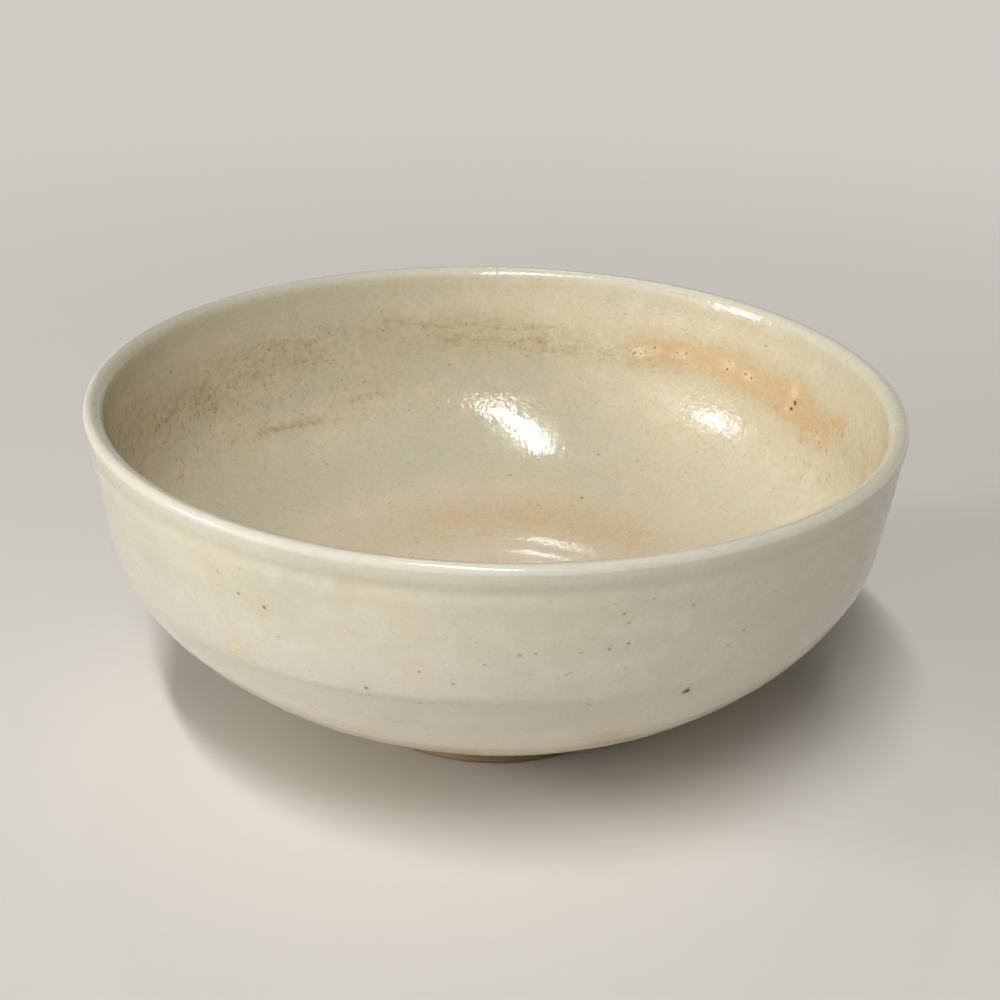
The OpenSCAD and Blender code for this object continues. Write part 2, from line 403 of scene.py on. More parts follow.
# A mark is (azimuth in degrees, distance down from the crest, half length round the bowl, half length down,
# strength)
outerMarks = dict(
    flash=[  # warm blush from the body
        (-125.5, 25, 3.0, 2.4, 0.5),
        (-100, 21, 3.0, 2.4, 0.35),
        (-120, 15, 2.4, 2.2, 0.45),
        (-95.3, 23, 1.2, 1.0, 0.3),
        (-107, 7, 5, 4, 0.22),
        (-74.5, 11, 1.5, 1.8, 0.3),
        (-73, 41.5, 6, 5, 0.5),
        (-69, 48, 9, 3, 0.5),
        (-92, 50, 10, 3, 0.6),
        (-108, 51, 10, 3, 0.5),
        (-20, 24, 5, 3, 0.5),
        (16, 30, 4, 3, 0.6),
        (34, 18, 3, 2.2, 0.5),
        (72, 47, 16, 5, 0.6),
        (118, 24, 6, 3.2, 0.6),
        (146, 35, 3.5, 2.6, 0.5),
        (-164, 47, 10, 4, 0.45),
    ],
    cream=[  # the glaze is milkier here, and pitted
        (-125.6, 25, 1.3, 1.1, 0.9),
        (-99.7, 21, 1.1, 0.9, 0.8),
        (-119.9, 14.6, 0.8, 0.8, 0.4),
        (16, 30, 1.6, 1.2, 0.8),
        (34, 18, 1.2, 1.0, 0.7),
        (117, 24, 2.0, 1.2, 0.8),
        (146, 35, 1.4, 1.1, 0.8),
    ],
    stain=[  # ochre streaks
        (-103, 34, 4, 2, 0.25),
        (-108, 6, 6, 1, 0.25),
        (-60, 14, 20, 1.0, 0.15),
        (60, 16, 16, 1.0, 0.4),
        (48, 19, 8, 0.8, 0.35),
        (100, 38, 14, 1.2, 0.4),
        (165, 20, 12, 1.0, 0.35),
    ],
    cool=[  # thicker, greyer glaze
        (-95, 4.6, 30, 1.2, 0.5),
        (-60, 5, 30, 1.4, 0.35),
        (-135, 4.6, 16, 1.2, 0.25),
        (-95, 29.5, 60, 2.2, 0.4),
        (-97, 38, 14, 5, 0.4),
        (20, 5, 50, 1.4, 0.4),
        (100, 5, 50, 1.4, 0.4),
        (90, 30, 70, 2.5, 0.35),
    ],
    dots=[],
    iron=[
        (-64.3, 29, 0.62, 0.72, 1.0),
        (-106.3, 26.0, 0.32, 0.32, 0.85),
        (-106.0, 27.7, 0.26, 0.2, 0.5),
        (-99.3, 21.2, 0.28, 0.24, 0.4),
        (-95.2, 23.2, 0.3, 0.26, 0.35),
        (-99.6, 28.3, 0.4, 0.22, 0.35),
        (-97.8, 28.0, 0.2, 0.2, 0.25),
        (-78, 28.4, 0.4, 0.22, 0.25),
        (-123.3, 13.2, 0.32, 0.34, 0.5),
        (-119.5, 14.3, 0.32, 0.3, 0.65),
        (-125.3, 25.3, 0.26, 0.24, 0.4),
        (-126.2, 10.2, 0.4, 0.24, 0.3),
        (-122.4, 8, 0.24, 0.2, 0.3),
        (-118, 19.5, 0.24, 0.2, 0.25),
        (-116.1, 36, 0.44, 0.26, 0.25),
        (-91.3, 19.1, 0.24, 0.2, 0.4),
        (-87.1, 17.2, 0.28, 0.24, 0.45),
        (-85.2, 16.8, 0.26, 0.22, 0.45),
        (-85.8, 21.0, 0.2, 0.18, 0.3),
        (-81.3, 21.4, 0.26, 0.24, 0.3),
        (-76.2, 16.9, 0.26, 0.24, 0.5),
        (-73.8, 16.2, 0.26, 0.24, 0.5),
        (-74.8, 10.2, 0.3, 0.28, 0.4),
        (-74.1, 12.1, 0.28, 0.26, 0.35),
        (-65.8, 10.5, 0.32, 0.34, 0.3),
        (-65.6, 27.1, 0.2, 0.2, 0.3),
        (-57.3, 18.4, 0.32, 0.3, 0.3),
        (-59.4, 20.7, 0.32, 0.28, 0.35),
    ],
    strewn=70,
    seed=11,
)
innerMarks = dict(
    flash=[  # blushes with pitted middles along the upper wall on one side, and one on the floor
        (61, 15.5, 6.4, 4.4, 0.46),
        (54, 15, 4.8, 4, 0.46),
        (45, 14.4, 6, 4.4, 0.56),
        (39, 15.4, 5.4, 4.4, 0.48),
        (33, 16, 5, 4.4, 0.4),
        (28, 16, 4.8, 6, 0.62),
        (22, 17.4, 5.8, 5, 0.44),
        (17, 18.4, 5.4, 4.6, 0.32),
        (12.5, 14, 3, 2.6, 0.3),
        (45, 15.5, 34, 5.5, 0.16),
        (8, 15, 26, 8, 0.16),
        (-2, 15.5, 6, 4.2, 0.3),
        (7.5, 17, 2.4, 1.6, 0.25),
        (78, 60.5, 28, 7, 0.32),
        (112, 63, 26, 7, 0.2),
        (44, 60, 18, 7, 0.2),
        (-140, 66, 10, 4, 0.4),
        (-100, 22, 8, 4, 0.5),
        (-72, 17, 5, 3, 0.5),
    ],
    cream=[
        (62.8, 16.8, 3.0, 1.5, 0.85),
        (59.5, 15.4, 1.6, 0.9, 0.6),
        (54.3, 15.2, 2.2, 1.3, 0.75),
        (51.8, 17.0, 1.6, 0.9, 0.45),
        (44.6, 14.5, 2.6, 1.8, 0.75),
        (39.6, 15.4, 2.4, 1.4, 0.7),
        (28.0, 14.0, 1.8, 2.4, 0.75),
        (28.4, 18.2, 2.2, 1.5, 0.6),
        (18.8, 20.0, 2.4, 1.2, 0.5),
        (15.4, 21.3, 1.6, 1.0, 0.4),
        (-99, 22, 2.6, 1.6, 0.8),
    ],
    stain=[
        (125, 16, 46, 6, 0.3),
        (155, 20, 26, 5, 0.24),
        (176, 12, 24, 9, 0.4),
        (8, 16, 20, 8, 0.36),
        (62, 18.5, 14, 3.2, 0.5),
        (34, 19.5, 10, 2.5, 0.3),
        (82, 16.5, 14, 5, 0.4),
        (50, 11, 20, 2.2, 0.15),
        (134, 13, 9, 2.4, 0.26),
        (144, 12.4, 6, 2.2, 0.2),
        (125, 14, 4, 2.2, 0.26),
        (126, 17.8, 5, 2.2, 0.24),
        (150.8, 17.4, 3.6, 1.6, 0.5),
        (137, 17.8, 7, 1.4, 0.25),
        (149.4, 21.5, 3.4, 1.8, 0.5),
        (142, 24.9, 5, 1.4, 0.25),
        (166, 18, 12, 2.2, 0.16),
        (182, 17.6, 9, 2.4, 0.15),
        (109, 12.4, 7, 2.0, 0.25),
        (104, 14.5, 9, 2.2, 0.24),
        (97, 17.8, 7, 2.2, 0.3),
        (95, 12.6, 8, 2.0, 0.2),
        (83, 18, 9, 1.4, 0.25),
        (86, 14, 8, 1.0, 0.25),
        (146.5, 30.1, 2.4, 1.4, 0.5),
        (139.5, 30.9, 3.6, 1.1, 0.8),
        (133.5, 31.4, 5.0, 0.9, 0.7),
        (127.5, 32.1, 2.8, 0.9, 0.6),
        (131, 31.8, 9, 2.4, 0.15),
        (123.4, 32.7, 1.2, 0.7, 0.6),
        (118.6, 28.8, 3.0, 1.1, 0.55),
        (113.6, 28.7, 3.6, 0.7, 0.7),
        (165, 30.6, 2.0, 1.0, 0.7),
        (161.9, 29, 0.7, 0.6, 0.6),
        (72, 28.5, 1.3, 1.7, 0.35),
        (22.3, 22.8, 3, 1.4, 0.4),
        (19, 28, 1.5, 3, 0.3),
        (11.5, 27.5, 4, 3, 0.3),
        (40, 31, 2, 0.8, 0.3),
        (32, 32.4, 2.6, 1.0, 0.3),
        (80, 67, 26, 0.7, 0.4),
        (-50, 14, 20, 1.0, 0.5),
        (-80, 19, 16, 0.9, 0.5),
        (-120, 13, 22, 0.9, 0.5),
        (-150, 30, 12, 0.9, 0.6),
        (-60, 32, 12, 1.2, 0.4),
    ],
    cool=[
        (120, 46, 24, 6, 0.8),
        (143, 44, 12, 8, 0.7),
        (100, 40, 20, 8, 0.5),
        (165, 6, 20, 3, 0.6),
        (75, 38, 26, 7, 0.4),
        (40, 40, 18, 6, 0.45),
        (-60, 45, 30, 8, 0.6),
        (-110, 8, 40, 3, 0.4),
    ],
    dots=[
        (140, 27, 40, 7, 0.5),
        (150, 19, 34, 6, 0.4),
        (110, 14, 30, 5, 0.25),
        (17, 26, 20, 7, 0.35),
        (45, 31, 26, 5, 0.25),
        (95, 32, 40, 8, 0.15),
        (-90, 26, 60, 10, 0.4),
    ],
    iron=[
        (27.3, 16.3, 0.55, 0.5, 1.0),
        (27.9, 17.9, 0.5, 0.36, 0.95),
        (64.0, 17.4, 0.3, 0.24, 0.75),
        (61.6, 16.5, 0.26, 0.22, 0.6),
        (59.9, 15.1, 0.28, 0.22, 0.75),
        (55.3, 15.1, 0.22, 0.2, 0.6),
        (53.5, 14.8, 0.24, 0.22, 0.7),
        (44.5, 15.5, 0.26, 0.24, 0.75),
        (44.3, 13.7, 0.22, 0.2, 0.5),
        (40.4, 15.1, 0.28, 0.24, 0.7),
        (38.9, 15.5, 0.26, 0.24, 0.7),
        (19.5, 19.2, 0.24, 0.2, 0.6),
        (17.8, 20.7, 0.24, 0.2, 0.5),
        (14.9, 21.1, 0.26, 0.24, 0.6),
        (37.3, 7.7, 0.34, 0.22, 0.35),
        (16.7, 2.4, 0.2, 0.18, 0.5),
        (158.1, 10.3, 0.3, 0.28, 0.5),
        (165.4, 18.5, 0.5, 0.36, 0.4),
        (115.4, 25.1, 0.3, 0.22, 0.4),
        (98.7, 23.0, 0.34, 0.2, 0.4),
        (129.0, 42.1, 0.28, 0.24, 0.5),
        (110.2, 45.8, 0.3, 0.22, 0.3),
        (156.5, 27.6, 0.3, 0.26, 0.4),
        (163.5, 27, 0.36, 0.3, 0.35),
        (66.6, 53.9, 0.4, 0.3, 0.5),
        (66.5, 42.4, 0.3, 0.24, 0.35),
        (77.5, 57.5, 0.3, 0.26, 0.3),
        (86, 50, 0.4, 0.26, 0.25),
    ],
    strewn=50,
    seed=23,
)


# Distance in mm round the bowl from an azimuth, and down from a distance below the crest
def awayFrom(mark, theta, down, radius):
    across = (np.mod(theta - radians(mark[0]) + pi, 2 * pi) - pi) * radius
    return across, down - mark[1]


# Soft patches: the sum over the marks of strength exp(-(across / a)^2 - (down / b)^2)
def softPatches(marks, theta, down, radius):
    total = np.zeros_like(down)
    for mark in marks:
        across, along = awayFrom(mark, theta, down, radius)
        total += mark[4] * np.exp(-((across / mark[2]) ** 2) - ((along / mark[3]) ** 2))
    return total


# Offset to the nearest speck as a share of its half lengths, then the distance to it in mm, and how dark it
# is. The offset is even between vertices, so that a speck smaller than a face stays round.
def nearestSpeck(specks, theta, down, radius):
    best = np.full(down.shape, 1e9)
    offset = np.full(down.shape + (3,), 9.0)
    dark = np.zeros(down.shape)
    for speck in specks:
        across, along = awayFrom(speck, theta, down, radius)
        distance = np.hypot(across, along)
        nearer = distance < best
        best = np.where(nearer, distance, best)
        offset[nearer] = np.stack([across / speck[2], along / speck[3], distance], -1)[nearer]
        dark = np.where(nearer, speck[4], dark)
    return offset, dark


# The named specks, then ones strewn at random over the side. Each goes into the first of two lists where it
# keeps clear of the rest, so that no two in a list are close enough for their offsets to meet.
def shareSpecks(marks, side):
    rng = np.random.default_rng(marks["seed"])
    lists = [[], []]
    apart = 3.6  # mm, over twice the distance at which a speck still shows

    # The distance between two specks is hypot(angle radius, difference in distance down)
    def place(speck):
        radius = float(sectionAt(side, np.array([speck[1] + side["crest"]]))[0, 0])
        for specks in lists:
            away = [((speck[0] - o[0] + 180) % 360 - 180, speck[1] - o[1]) for o in specks]
            gaps = [np.hypot(radians(degrees) * radius, along) for degrees, along in away]
            if not gaps or min(gaps) > apart:
                specks.append(speck)
                return
        print("no room for the speck at", speck[:2])

    for speck in marks["iron"]:
        place(speck)
    for _ in range(marks["strewn"]):
        azimuth, down = rng.uniform(-180, 180), rng.uniform(5, side["length"] - side["crest"] - 8)
        size, flatness, dark = rng.uniform(0.12, 0.26), rng.uniform(0.6, 1.0), rng.uniform(0.08, 0.28)
        place((azimuth, down, size, size * flatness, dark))
    return lists


# What the glaze needs at each vertex: (cos theta, sin theta, s), the distance from the crest, the sum of
# each kind of patch, and the nearest speck of each list
def glazeFields(side, marks, theta, s):
    radius = np.maximum(sectionAt(side, s)[..., 0], 1)
    down = s - side["crest"]
    fields = dict(wheel=np.stack([np.cos(theta), np.sin(theta), s], -1), down=down)
    for key in ("flash", "cream", "stain", "cool", "dots"):
        fields[key] = softPatches(marks[key], theta, down, radius)
    for key, specks in zip(("speckA", "speckB"), shareSpecks(marks, side)):
        fields[key], fields[key + "Dark"] = nearestSpeck(specks, theta, down, radius)
    return fields


coat = dict(
    roll=0.22,  # swelling of the outer coat just above where it ends
    rollUp=2.2,
    rollHalf=1.6,
    tip=0.6,  # gap round the middle of the floor that a point on the axis closes
    outerRows=(26, 136),  # on the lip's round and below it, on the face that shows
    outerHidden=(6, 12),
    innerRows=(24, 120),
    innerHidden=(5, 36),  # close enough for their chords to stay behind the coat
)


# The outer coat: the section raised by glaze + roll exp(-((s - end + up) / half)^2), a rounded end where
# the lift is glaze cos(turn), and the hidden face on the clay
def outerGlazeCoat():
    glaze = bowl["glaze"]
    end = outer["length"] - bowl["bareBand"]
    theta, s = gridOf(bowl["around"], rowsDown(outer, end - glaze, *coat["outerRows"]))
    swell = coat["roll"] * np.exp(-(((s - end + coat["rollUp"]) / coat["rollHalf"]) ** 2))
    swell = swell * (1 + 0.5 * np.sin(4 * theta) + 0.3 * np.sin(9 * theta + 1))
    shown = sidePoints(outer, theta, s, glaze + swell)
    thetaEnd, turn = gridOf(bowl["around"], np.radians(np.linspace(0, 90, 7)[1:]))
    sEnd = end - glaze + glaze * np.sin(turn)
    edge = sidePoints(outer, thetaEnd, sEnd, glaze * np.cos(turn))
    thetaBack, sBack = gridOf(bowl["around"], rowsDown(outer, end - glaze, *coat["outerHidden"])[::-1])
    hidden = sidePoints(outer, thetaBack, sBack, np.zeros_like(sBack))
    points = np.concatenate([shown, edge, hidden])
    allTheta, allS = np.concatenate([theta, thetaEnd, thetaBack]), np.concatenate([s, sEnd, sBack])
    fields = glazeFields(outer, outerMarks, allTheta, allS)
    return skin("outerGlazeCoat", points, [0, len(points) - 1], fields=fields)


# The inner coat: the section raised by the glaze, from the middle of the floor up to the crest, and the
# hidden face on the clay from there down again
def innerGlazeCoat():
    end = inner["length"] - coat["tip"]
    shownRows = rowsDown(inner, end, *coat["innerRows"])[::-1]
    theta, s = gridOf(bowl["around"], shownRows)
    shown = sidePoints(inner, theta, s, np.full_like(s, bowl["glaze"]))
    thetaBack, sBack = gridOf(bowl["around"], rowsDown(inner, end, *coat["innerHidden"]))
    hidden = sidePoints(inner, thetaBack, sBack, np.zeros_like(sBack))
    points = np.concatenate([shown, hidden])
    allTheta, allS = np.concatenate([theta, thetaBack]), np.concatenate([s, sBack])
    fields = glazeFields(inner, innerMarks, allTheta, allS)
    crestRow = len(shownRows) - 1
    return skin("innerGlazeCoat", points, [crestRow, crestRow + 1], poles=True, fields=fields)


clay = dict(
    around=256,
    rows=(5, 30),  # on the lip's round and below it
    closeRows=14,  # where the clay is bare
    toolDepth=0.05,
    toolPitch=1.1,
    spiralPitch=2.2,  # of the tool on the underside
    riseRadius=7.5,
    riseHeight=1.1,
    bareRun=4,  # mm above the foot where the tool's lines start
    tuck=0.03,  # how far the clay lies behind the glaze
    tuckEnd=3,
)


# The body: inner side and outer side drawn in by the tuck, and an underside at the foot's height less a rise
# h (1 + cos(pi r / R)) / 2. The tool leaves depth sin(2 pi s / pitch + theta) on bare clay.
def clayBody():
    length, depth = outer["length"], clay["toolDepth"]
    theta, s = gridOf(clay["around"], rowsDown(inner, inner["length"] - coat["tip"], *clay["rows"])[::-1])
    inward = sidePoints(inner, theta, s, np.full_like(s, -clay["tuck"]))
    closeRows = np.linspace(length - 5.5, length, clay["closeRows"])
    outside = np.concatenate([rowsDown(outer, length - 6, *clay["rows"])[1:], closeRows])
    thetaOut, sOut = gridOf(clay["around"], outside)
    tuck = clay["tuck"] * ease(length - sOut - clay["tuckEnd"])
    intoBare = sOut - length + clay["bareRun"]
    tooled = depth * np.sin(2 * pi * sOut / clay["toolPitch"] + thetaOut) * ease(intoBare / 2)
    outward = sidePoints(outer, thetaOut, sOut, -tuck - depth + tooled)
    thetaUnder, rUnder = gridOf(clay["around"], np.linspace(footCorner - 0.3, coat["tip"], 48))
    rise = clay["riseHeight"] * (1 + np.cos(pi * np.clip(rUnder / clay["riseRadius"], 0, 1))) / 2
    spiral = depth * (1 + np.sin(2 * pi * rUnder / clay["spiralPitch"] + thetaUnder)) * ease(rUnder / 3)
    under = turned(thetaUnder, rUnder, footHeight - rise + spiral)
    points = np.concatenate([inward, outward, under])
    grids = ((theta, s), (thetaOut, sOut), (thetaUnder, rUnder))
    wheel = np.concatenate([np.stack([np.cos(t), np.sin(t), v], -1) for t, v in grids])
    return skin("clayBody", points, poles=True, fields=dict(wheel=wheel))


foot = dict(
    width=5.2,
    lean=4.0,
    edge=0.9,  # radius
    toolDepth=0.05,
    toolPitch=1.3,
    chip=0.12,  # wear of the edge that it stands on
    chipHeight=0.9,
)


# A closed section for the foot: standing face, rounded edges r (cos a, 1 - sin a) and two walls that lean
# out as they rise. Tool lines sin(2 pi z / pitch + theta) and chips exp(-(z / height)^2) are cut into it.
def footRing():
    edgeRadius, lean = foot["edge"], foot["lean"]
    bottom = footCorner - (footHeight - edgeRadius) * np.tan(radians(lean)) - edgeRadius / cos(radians(lean))
    middle = bottom + edgeRadius - foot["width"] / 2
    angles = np.radians(np.linspace(90, lean, 9))
    roundR = bottom + edgeRadius * np.cos(angles)
    roundZ = edgeRadius - edgeRadius * np.sin(angles)
    wallZ = np.linspace(roundZ[-1], footHeight, 18)[1:]
    wallR = roundR[-1] + (wallZ - roundZ[-1]) * np.tan(radians(lean))
    soleR = np.linspace(middle, bottom, 8)[:-1]
    halfR = np.concatenate([soleR, roundR, wallR])
    halfZ = np.concatenate([np.zeros_like(soleR), roundZ, wallZ])
    # The inner half is the outer one turned over about the middle
    topR = np.linspace(halfR[-1], 2 * middle - halfR[-1], 4)[1:-1]
    r = np.concatenate([halfR, topR, (2 * middle - halfR)[::-1][:-1]])
    z = np.concatenate([halfZ, np.full_like(topR, footHeight), halfZ[::-1][:-1]])
    theta, row = gridOf(clay["around"], np.arange(len(r)))
    r, z = r[row], z[row]
    wall = ease(z / 2) * ease(footHeight - z)
    tooled = foot["toolDepth"] * (np.sin(2 * pi * z / foot["toolPitch"] + theta) - 1) * wall
    chips = foot["chip"] * np.maximum(np.sin(13 * theta + 3 * np.sin(5 * theta)), 0) ** 6
    chips = chips * np.exp(-((z / foot["chipHeight"]) ** 2))
    inward = np.sign(r - middle) * (tooled - chips)
    points = turned(theta, r + inward, z)
    wheel = np.stack([np.cos(theta), np.sin(theta), z + np.abs(r - middle)], -1)
    return skin("footRing", points, fields=dict(wheel=wheel))


# A screen colour "#RRGGBB" as the light it stands for: c / 12.92 when dark, else ((c + 0.055) / 1.055)^2.4
def linear(colour):
    parts = [int(colour[k : k + 2], 16) / 255 for k in (1, 3, 5)]
    return [c / 12.92 if c <= 0.04045 else ((c + 0.055) / 1.055) ** 2.4 for c in parts] + [1]


# Adds a node. A socket among the inputs is linked, and any other value is set.
def add(tree, kind, inputs=None, **settings):
    node = tree.nodes.new(kind)
    for key, value in settings.items():
        setattr(node, key, value)
    for key, value in (inputs or {}).items():
        if isinstance(value, bpy.types.NodeSocket):
            tree.links.new(value, node.inputs[key])
        else:
            node.inputs[key].default_value = value
    return node


# An empty material and its node tree
def newMaterial(name):
    material = bpy.data.materials.new(name)
    material.use_nodes = True
    tree = material.node_tree
    tree.nodes.clear()
    return material, tree


# Noise and the like come out as 0 to 1. This eases a value from one range to another, and holds it beyond.
def reshape(tree, value, low, high, toLow=0.0, toHigh=1.0):
    inputs = {0: value, 1: low, 2: high, 3: toLow, 4: toHigh}
    return add(tree, "ShaderNodeMapRange", inputs, interpolation_type="SMOOTHSTEP").outputs[0]


# a (1 - factor) + b factor
def mixColour(tree, factor, a, b):
    return add(tree, "ShaderNodeMix", {0: factor, 6: a, 7: b}, data_type="RGBA").outputs[2]


# a and b under one arithmetic operation
def combine(tree, operation, a, b):
    return add(tree, "ShaderNodeMath", {0: a, 1: b}, operation=operation).outputs[0]


# A value that was kept at the vertices
def field(tree, name, output="Fac"):
    return add(tree, "ShaderNodeAttribute", attribute_name=name).outputs[output]


# A vector times a scale along each axis
def stretched(tree, vector, scale):
    return add(tree, "ShaderNodeMapping", {"Vector": vector, "Scale": scale}).outputs[0]


# Noise from 0 to 1, with its scale in features for each metre, or for each unit of the vector
def noise(tree, vector, scale, detail, rough):
    inputs = {"Vector": vector, "Scale": scale, "Detail": detail, "Roughness": rough}
    return add(tree, "ShaderNodeTexNoise", inputs).outputs[0]


# Milky feldspar glaze over buff stoneware, dipped and fired in reduction. To the eye it is a clear gloss
# over a soft cream, warmer where the body blushes through, greyer where it lies thick, with ochre streaks
# that follow the wheel, and pinholes and iron specks.
def milkyGlaze(name, look):
    material, tree = newMaterial(name)
    place = add(tree, "ShaderNodeTexCoord").outputs["Object"]
    wheel = field(tree, "wheel", "Vector")
    down = field(tree, "down")
    # The wheel's vector has 1 unit for the bowl's radius round it and 1 for each mm down. Streaks are drawn
    # out far along the wheel, and dots a little.
    streaky = stretched(tree, wheel, (11.0, 11.0, 0.9))
    dotty = stretched(tree, wheel, (50.0, 50.0, 1.0))

    cloud = noise(tree, place, 1 / 0.026, 3.0, 0.55)  # 26 mm clouds of thicker and thinner glaze
    curd = noise(tree, place, 1 / 0.0055, 4.0, 0.6)  # 5.5 mm curdling
    mottle = noise(tree, place, 1 / 0.0014, 3.0, 0.6)  # 1.4 mm mottle, where the body shows through
    grain = noise(tree, place, 1 / 0.0009, 3.0, 0.65)  # 0.9 mm, the coarse end of the body's grain
    streak = noise(tree, streaky, 1.0, 4.0, 0.6)  # 6 mm by 1.1 mm
    peel = noise(tree, place, 1 / 0.0015, 2.0, 0.5)  # 1.5 mm orange peel
    wobble = noise(tree, place, 1 / 0.0008, 1.0, 0.5)  # 0.8 mm, for the specks' edges

    colour = mixColour(tree, reshape(tree, cloud, 0.35, 0.65), linear(look["ground"]), linear(look["thick"]))
    colour = mixColour(tree, reshape(tree, curd, 0.45, 0.7, 0, 0.5), colour, linear(look["pale"]))
    grey = combine(tree, "MULTIPLY", field(tree, "cool"), reshape(tree, curd, 0.25, 0.7, 0.7, 1.2))
    colour = mixColour(tree, reshape(tree, grey, 0.0, 1.0, 0, 0.7), colour, linear(look["cool"]))

    # Bands of tone down the side. In the looks below, the pale lip is partly painted highlight and the pale
    # lower belly is painted bounce light.
    for tone, start, end, shareStart, shareEnd in look["bands"]:
        colour = mixColour(tree, reshape(tree, down, start, end, shareStart, shareEnd), colour, linear(tone))

    # Blush with a curdled edge: ochre in its halo, then peach
    flash = combine(tree, "MULTIPLY", field(tree, "flash"), reshape(tree, curd, 0.25, 0.7, 0.7, 1.2))
    flash = combine(tree, "MULTIPLY", flash, reshape(tree, mottle, 0.25, 0.75, 0.75, 1.2))
    colour = mixColour(tree, reshape(tree, flash, 0.0, 0.7, 0, 0.7), colour, linear(look["blush"]))
    colour = mixColour(tree, reshape(tree, flash, 0.25, 1.1, 0, 0.75), colour, linear(look["flash"]))

    # Ochre streaks, broken up by the streaky noise and then by the mottle
    stain = combine(tree, "MULTIPLY", field(tree, "stain"), reshape(tree, streak, 0.3, 0.7, 0.55, 1.2))
    stain = combine(tree, "MULTIPLY", stain, reshape(tree, mottle, 0.35, 0.65, 0.65, 1.2))
    colour = mixColour(tree, reshape(tree, stain, 0.0, 1.1, 0, 0.8), colour, linear(look["stain"]))

    # Mottle of the body, in the patches that the dots field gives
    share = combine(tree, "ADD", field(tree, "dots"), look["mottling"])
    share = combine(tree, "MINIMUM", share, 1.0)
    mottled = combine(tree, "MULTIPLY", reshape(tree, mottle, 0.46, 0.72), share)
    mottled = combine(tree, "MULTIPLY", mottled, reshape(tree, down, 2.0, 5.0))
    colour = mixColour(tree, reshape(tree, mottled, 0, 1, 0, 0.38), colour, linear(look["mottle"]))

    # Milky middles of the blushes
    cream = combine(tree, "MULTIPLY", field(tree, "cream"), reshape(tree, grain, 0.3, 0.65, 0.35, 1.35))
    cream = reshape(tree, cream, 0.1, 0.85)
    colour = mixColour(tree, combine(tree, "MULTIPLY", cream, look["milk"]), colour, linear(look["cream"]))

    # Grain everywhere, a little: darker where the noise is high and paler where it is low
    graining = look["graining"]
    colour = mixColour(tree, reshape(tree, grain, 0.52, 0.75, 0, graining), colour, linear(look["grain"]))
    colour = mixColour(tree, reshape(tree, grain, 0.48, 0.25, 0, graining), colour, linear(look["pale"]))

    # Pinholes: dots in the cells of a pattern, 1.5 mm by 1 mm at the wall, in the share of the cells that
    # the patches give
    cells = add(tree, "ShaderNodeTexVoronoi", {"Vector": dotty, "Scale": 1.0, "Randomness": 1.0})
    chance = add(tree, "ShaderNodeSeparateColor", {0: cells.outputs["Color"]}).outputs
    share = look["pinholes"]
    for patch, weight in ((field(tree, "dots"), 0.3), (cream, 0.5), (field(tree, "stain"), 0.3)):
        share = combine(tree, "ADD", combine(tree, "MULTIPLY", patch, weight), share)
    chosen = combine(tree, "LESS_THAN", chance[0], share)
    radius = reshape(tree, chance[1], 0.0, 1.0, 0.12, 0.28)
    edge = combine(tree, "DIVIDE", cells.outputs["Distance"], radius)
    pinhole = combine(tree, "MULTIPLY", reshape(tree, edge, 1.5, 0.4), chosen)
    depth = reshape(tree, chance[2], 0.0, 1.0, 0.1, 0.45)
    depth = combine(tree, "ADD", depth, combine(tree, "MULTIPLY", cream, 0.3))
    pinhole = combine(tree, "MULTIPLY", pinhole, depth)
    pinhole = combine(tree, "MULTIPLY", pinhole, reshape(tree, down, 4.0, 6.0))
    colour = mixColour(tree, pinhole, colour, linear(look["pinhole"]))

    # Iron specks: inside an ellipse whose edge wobbles, with a soft brown halo
    spots = 0.0
    for key in ("speckA", "speckB"):
        offset = field(tree, key, "Vector")
        flat = add(tree, "ShaderNodeVectorMath", {0: offset, 1: (1, 1, 0)}, operation="MULTIPLY").outputs[0]
        size = add(tree, "ShaderNodeVectorMath", {0: flat}, operation="LENGTH").outputs["Value"]
        size = combine(tree, "MULTIPLY", size, reshape(tree, wobble, 0.2, 0.8, 0.75, 1.25))
        near = add(tree, "ShaderNodeSeparateXYZ", {0: offset}).outputs[2]
        seen = combine(tree, "MULTIPLY", reshape(tree, near, 1.6, 1.2), field(tree, key + "Dark"))
        halo = combine(tree, "MULTIPLY", reshape(tree, size, 2.8, 0.8, 0, 0.3), seen)
        spot = combine(tree, "MULTIPLY", reshape(tree, size, 1.45, 0.35), seen)
        colour = mixColour(tree, halo, colour, linear(look["halo"]))
        colour = mixColour(tree, spot, colour, linear(look["iron"]))
        spots = combine(tree, "ADD", spot, spots)

    # The surface: orange peel and grain, with a dimple at each pinhole and speck
    dimples = combine(tree, "MULTIPLY", combine(tree, "ADD", pinhole, spots), -0.8)
    height = combine(tree, "ADD", combine(tree, "ADD", peel, dimples), combine(tree, "MULTIPLY", grain, 0.5))
    # The glaze lies smoother low down, where it runs together
    height = combine(tree, "MULTIPLY", height, reshape(tree, down, *look["smoother"], 1.0, look["smooth"]))
    bump = add(tree, "ShaderNodeBump", {"Height": height, "Strength": 1.0, "Distance": look["peel"] * mm})
    rough = reshape(tree, curd, 0.3, 0.7, look["rough"] * 0.8, look["rough"] * 1.3)
    rough = combine(tree, "ADD", rough, combine(tree, "MULTIPLY", spots, 0.3))
    surface = {"Base Color": colour, "Roughness": rough, "Normal": bump.outputs[0], "IOR": 1.5}
    shader = add(tree, "ShaderNodeBsdfPrincipled", surface)
    add(tree, "ShaderNodeOutputMaterial", {"Surface": shader.outputs[0]})
    return material


